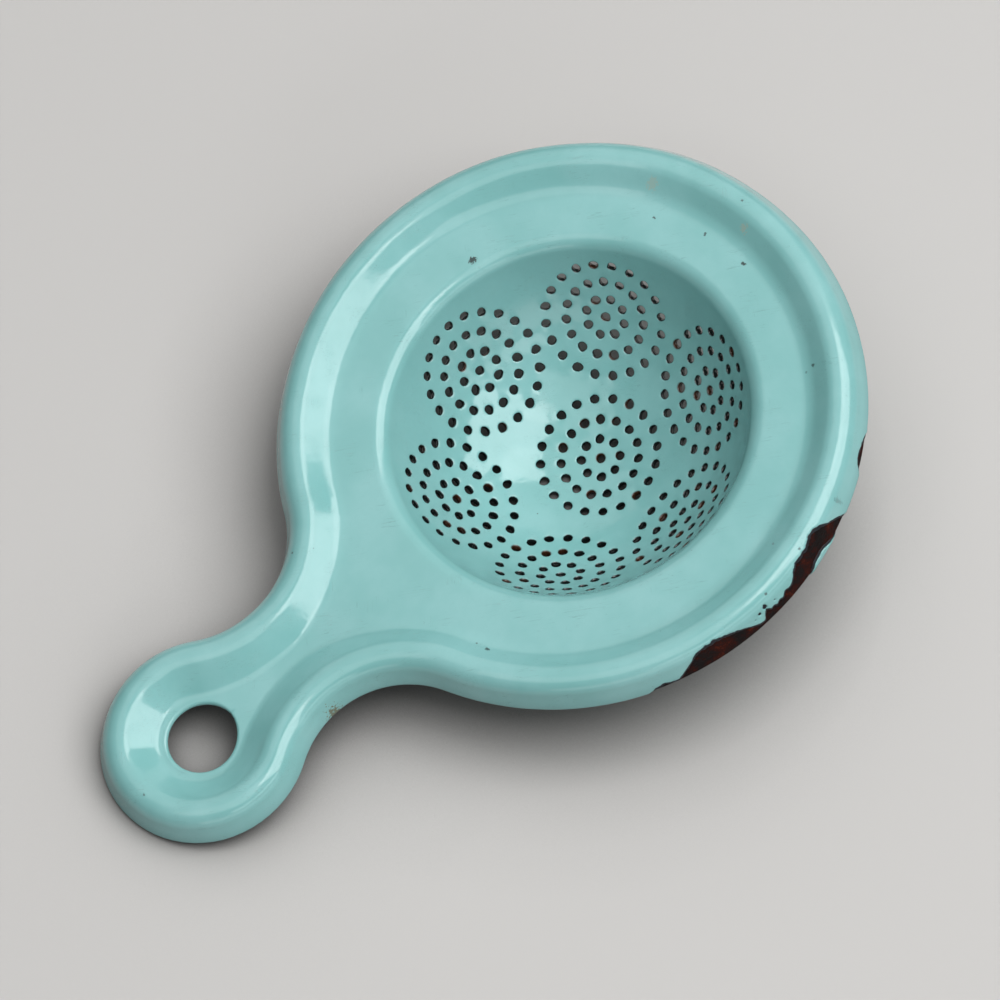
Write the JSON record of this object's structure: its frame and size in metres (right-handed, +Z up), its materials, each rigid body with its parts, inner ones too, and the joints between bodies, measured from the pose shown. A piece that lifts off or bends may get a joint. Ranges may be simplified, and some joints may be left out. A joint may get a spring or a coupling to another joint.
{
  "type": "enamel sieve",
  "caption": "Small enamelled steel sieve: a round bowl pierced in rosettes, a turned-down rim and a channelled handle with a hanging hole.",
  "frame": {"origin": "on the table the sieve lies on, under the middle of its whole length and width", "axes": "+Z up from the table, +X along the sieve from the handle's end to the far side of the bowl; it lies on its bowl and its handle's tip"},
  "size_m": [0.1296, 0.0898, 0.0323],
  "materials": {
    "steel_pressing": "mild steel sheet, bare and rusted where the coats have chipped",
    "ground_coat": "dark fused ground enamel, seen only at the edges of chips",
    "cover_coat": "glossy turquoise fused enamel, worn and scratched"
  },
  "bodies": {
    "root": {"steel_pressing": "steel_pressing", "ground_coat": "ground_coat", "cover_coat": "cover_coat"}
  },
  "joints": []
}
